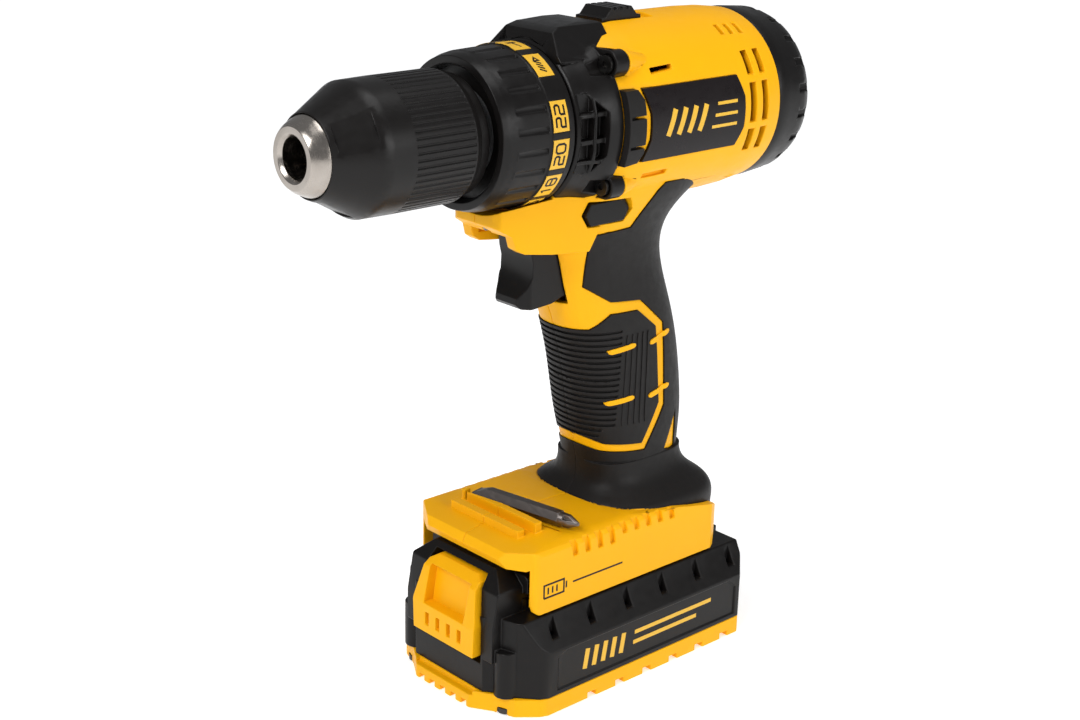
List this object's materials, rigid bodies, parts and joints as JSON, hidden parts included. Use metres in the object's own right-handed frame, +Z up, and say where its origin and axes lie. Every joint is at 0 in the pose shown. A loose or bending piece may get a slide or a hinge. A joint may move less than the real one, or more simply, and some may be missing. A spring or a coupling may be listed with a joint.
{
  "type": "cordless drill",
  "caption": "Cordless hammer drill driver with keyless chuck, torque collar, two-speed slider, sprung trigger and slide-on battery.",
  "frame": {"origin": "on the bottom plane of the battery, in the middle plane of the drill, below the handle", "axes": "+X the drilling direction along the spindle, +Y the left side, +Z up"},
  "size_m": [0.214, 0.076, 0.2439],
  "materials": {
    "yellow_shell": "fine satin grain",
    "black_shell": "satin",
    "soft_grip": "matt soft grip",
    "chuck_black": "smooth satin",
    "badge_black": "semi gloss",
    "label_yellow": "printed",
    "bright_steel": "turned and brushed",
    "dark_steel": "phosphated",
    "gear_steel": "sintered",
    "black_screw": "black oxide",
    "copper": "enamelled wire",
    "magnet_grey": "matt",
    "gearcase_grey": "glass filled",
    "bronze": "sintered",
    "lens_clear": "clear",
    "terminal_metal": "tinned",
    "cell_wrap": "shrink wrap",
    "board_green": "lacquered"
  },
  "bodies": {
    "housing": {"housing_left": "yellow_shell", "housing_right": "yellow_shell", "grip_left": "soft_grip", "grip_right": "soft_grip", "side_badges": "badge_black", "rear_cap": "black_shell", "gearcase_cover": "black_shell", "gearcase_screws": "black_screw", "housing_screws": "black_screw", "gearcase": "gearcase_grey", "ring_gear_1": "gear_steel", "ring_gear_3": "gear_steel", "motor_can": "bright_steel", "motor_magnets": "magnet_grey", "brush_holder": "black_shell", "bearings": "bronze", "switch_module": "black_shell", "led_lens": "lens_clear", "terminal_block": "black_shell", "terminal_blades": "terminal_metal", "clutch_spring": "bright_steel", "clutch_washer": "bright_steel"},
    "rotor": {"rotor_shaft": "gear_steel", "rotor_core": "dark_steel", "rotor_windings": "copper", "commutator": "copper", "motor_fan": "black_shell"},
    "first_carrier": {"carrier_1": "gear_steel"},
    "second_carrier": {"carrier_2": "gear_steel"},
    "spindle_assembly": {"spindle": "dark_steel", "chuck_body": "bright_steel", "chuck_screw": "dark_steel"},
    "sleeve_assembly": {"chuck_sleeve": "chuck_black", "chuck_nut": "dark_steel"},
    "collar_assembly": {"torque_collar": "black_shell", "collar_labels": "label_yellow"},
    "nut_body": {"clutch_nut": "gearcase_grey"},
    "slider_body": {"speed_slider": "black_shell"},
    "shift_ring": {"ring_gear_2": "gear_steel"},
    "trigger_body": {"trigger": "black_shell"},
    "direction_body": {"direction_button": "black_shell"},
    "battery": {"battery_case": "black_shell", "battery_tray": "yellow_shell", "battery_screws": "black_screw", "battery_cells": "cell_wrap", "battery_board": "board_green"},
    "latch_body": {"battery_latch": "yellow_shell"},
    "bit_body": {"screwdriver_bit": "dark_steel"},
    "jaw_body_1": {"jaw_1": "dark_steel"},
    "jaw_body_2": {"jaw_2": "dark_steel"},
    "jaw_body_3": {"jaw_3": "dark_steel"},
    "planet_1a_body": {"planet_1a": "gear_steel"},
    "planet_1b_body": {"planet_1b": "gear_steel"},
    "planet_1c_body": {"planet_1c": "gear_steel"},
    "planet_2a_body": {"planet_2a": "gear_steel"},
    "planet_2b_body": {"planet_2b": "gear_steel"},
    "planet_2c_body": {"planet_2c": "gear_steel"},
    "planet_3a_body": {"planet_3a": "gear_steel"},
    "planet_3b_body": {"planet_3b": "gear_steel"},
    "planet_3c_body": {"planet_3c": "gear_steel"}
  },
  "joints": [
    {"name": "spindle_turn", "type": "hinge", "parent": "housing", "child": "spindle_assembly", "pos_m": [0, 0, 0.207], "axis": [1, 0, 0], "continuous": true},
    {"name": "second_carrier_turn", "type": "hinge", "parent": "housing", "child": "second_carrier", "pos_m": [0, 0, 0.207], "axis": [1, 0, 0], "continuous": true},
    {"name": "first_carrier_turn", "type": "hinge", "parent": "housing", "child": "first_carrier", "pos_m": [0, 0, 0.207], "axis": [1, 0, 0], "continuous": true},
    {"name": "rotor_turn", "type": "hinge", "parent": "housing", "child": "rotor", "pos_m": [0, 0, 0.207], "axis": [1, 0, 0], "continuous": true},
    {"name": "planet_3a_turn", "type": "hinge", "parent": "spindle_assembly", "child": "planet_3a_body", "pos_m": [0, 0.0105, 0.207], "axis": [1, 0, 0], "continuous": true},
    {"name": "planet_3b_turn", "type": "hinge", "parent": "spindle_assembly", "child": "planet_3b_body", "pos_m": [0, -0.00525, 0.21609], "axis": [1, 0, 0], "continuous": true},
    {"name": "planet_3c_turn", "type": "hinge", "parent": "spindle_assembly", "child": "planet_3c_body", "pos_m": [0, -0.00525, 0.19791], "axis": [1, 0, 0], "continuous": true},
    {"name": "planet_2a_turn", "type": "hinge", "parent": "second_carrier", "child": "planet_2a_body", "pos_m": [0, 0.0105, 0.207], "axis": [1, 0, 0], "continuous": true},
    {"name": "planet_2b_turn", "type": "hinge", "parent": "second_carrier", "child": "planet_2b_body", "pos_m": [0, -0.00525, 0.21609], "axis": [1, 0, 0], "continuous": true},
    {"name": "planet_2c_turn", "type": "hinge", "parent": "second_carrier", "child": "planet_2c_body", "pos_m": [0, -0.00525, 0.19791], "axis": [1, 0, 0], "continuous": true},
    {"name": "planet_1a_turn", "type": "hinge", "parent": "first_carrier", "child": "planet_1a_body", "pos_m": [0, 0.0105, 0.207], "axis": [1, 0, 0], "continuous": true},
    {"name": "planet_1b_turn", "type": "hinge", "parent": "first_carrier", "child": "planet_1b_body", "pos_m": [0, -0.00525, 0.21609], "axis": [1, 0, 0], "continuous": true},
    {"name": "planet_1c_turn", "type": "hinge", "parent": "first_carrier", "child": "planet_1c_body", "pos_m": [0, -0.00525, 0.19791], "axis": [1, 0, 0], "continuous": true},
    {"name": "sleeve_turn", "type": "hinge", "parent": "spindle_assembly", "child": "sleeve_assembly", "pos_m": [0, 0, 0.207], "axis": [-1, 0, 0], "range_deg": [0, 2304]},
    {"name": "jaw_1_slide", "type": "slide", "parent": "spindle_assembly", "child": "jaw_body_1", "axis": [0.9659, 0, -0.2588], "range_m": [0, 0.0192]},
    {"name": "jaw_2_slide", "type": "slide", "parent": "spindle_assembly", "child": "jaw_body_2", "axis": [0.9659, 0.2241, 0.1294], "range_m": [0, 0.0192]},
    {"name": "jaw_3_slide", "type": "slide", "parent": "spindle_assembly", "child": "jaw_body_3", "axis": [0.9659, -0.2241, 0.1294], "range_m": [0, 0.0192]},
    {"name": "collar_turn", "type": "hinge", "parent": "housing", "child": "collar_assembly", "pos_m": [0, 0, 0.207], "axis": [1, 0, 0], "range_deg": [0, 332]},
    {"name": "clutch_nut_slide", "type": "slide", "parent": "collar_assembly", "child": "nut_body", "axis": [1, 0, 0], "range_m": [0, 0.00554], "deforming": ["clutch_spring"]},
    {"name": "speed_slide", "type": "slide", "parent": "housing", "child": "slider_body", "axis": [-1, 0, 0], "range_m": [0, 0.004]},
    {"name": "shift_ring_slide", "type": "slide", "parent": "housing", "child": "shift_ring", "axis": [-1, 0, 0], "range_m": [0, 0.004]},
    {"name": "trigger_pull", "type": "slide", "parent": "housing", "child": "trigger_body", "axis": [-1, 0, 0], "range_m": [0, 0.007], "stiffness_N_per_m": 900, "springref_m": -0.002},
    {"name": "direction_slide", "type": "slide", "parent": "housing", "child": "direction_body", "axis": [0, 1, 0], "range_m": [-0.003, 0.003]},
    {"name": "battery_slide", "type": "slide", "parent": "housing", "child": "battery", "axis": [1, 0, 0], "range_m": [0, 0.095]},
    {"name": "latch_press", "type": "slide", "parent": "battery", "child": "latch_body", "axis": [-1, 0, 0], "range_m": [0, 0.003], "stiffness_N_per_m": 2500, "springref_m": -0.001},
    {"name": "bit_lift", "type": "slide", "parent": "housing", "child": "bit_body", "axis": [0, 0, 1], "range_m": [0, 0.02]}
  ],
  "couplings": [
    {"joint": "second_carrier_turn", "follows": "spindle_turn", "ratio": 3.75},
    {"joint": "first_carrier_turn", "follows": "spindle_turn", "ratio": 14.062},
    {"joint": "rotor_turn", "follows": "spindle_turn", "ratio": 52.734},
    {"joint": "planet_3a_turn", "follows": "spindle_turn", "ratio": -3.1429},
    {"joint": "planet_3b_turn", "follows": "spindle_turn", "ratio": -3.1429},
    {"joint": "planet_3c_turn", "follows": "spindle_turn", "ratio": -3.1429},
    {"joint": "planet_2a_turn", "follows": "spindle_turn", "ratio": -11.786},
    {"joint": "planet_2b_turn", "follows": "spindle_turn", "ratio": -11.786},
    {"joint": "planet_2c_turn", "follows": "spindle_turn", "ratio": -11.786},
    {"joint": "planet_1a_turn", "follows": "spindle_turn", "ratio": -44.196},
    {"joint": "planet_1b_turn", "follows": "spindle_turn", "ratio": -44.196},
    {"joint": "planet_1c_turn", "follows": "spindle_turn", "ratio": -44.196},
    {"joint": "jaw_1_slide", "follows": "sleeve_turn", "m_per_rad": 0.00047746},
    {"joint": "jaw_2_slide", "follows": "sleeve_turn", "m_per_rad": 0.00047746},
    {"joint": "jaw_3_slide", "follows": "sleeve_turn", "m_per_rad": 0.00047746},
    {"joint": "clutch_nut_slide", "follows": "collar_turn", "m_per_rad": 0.00095493},
    {"joint": "shift_ring_slide", "follows": "speed_slide", "ratio": 1}
  ]
}
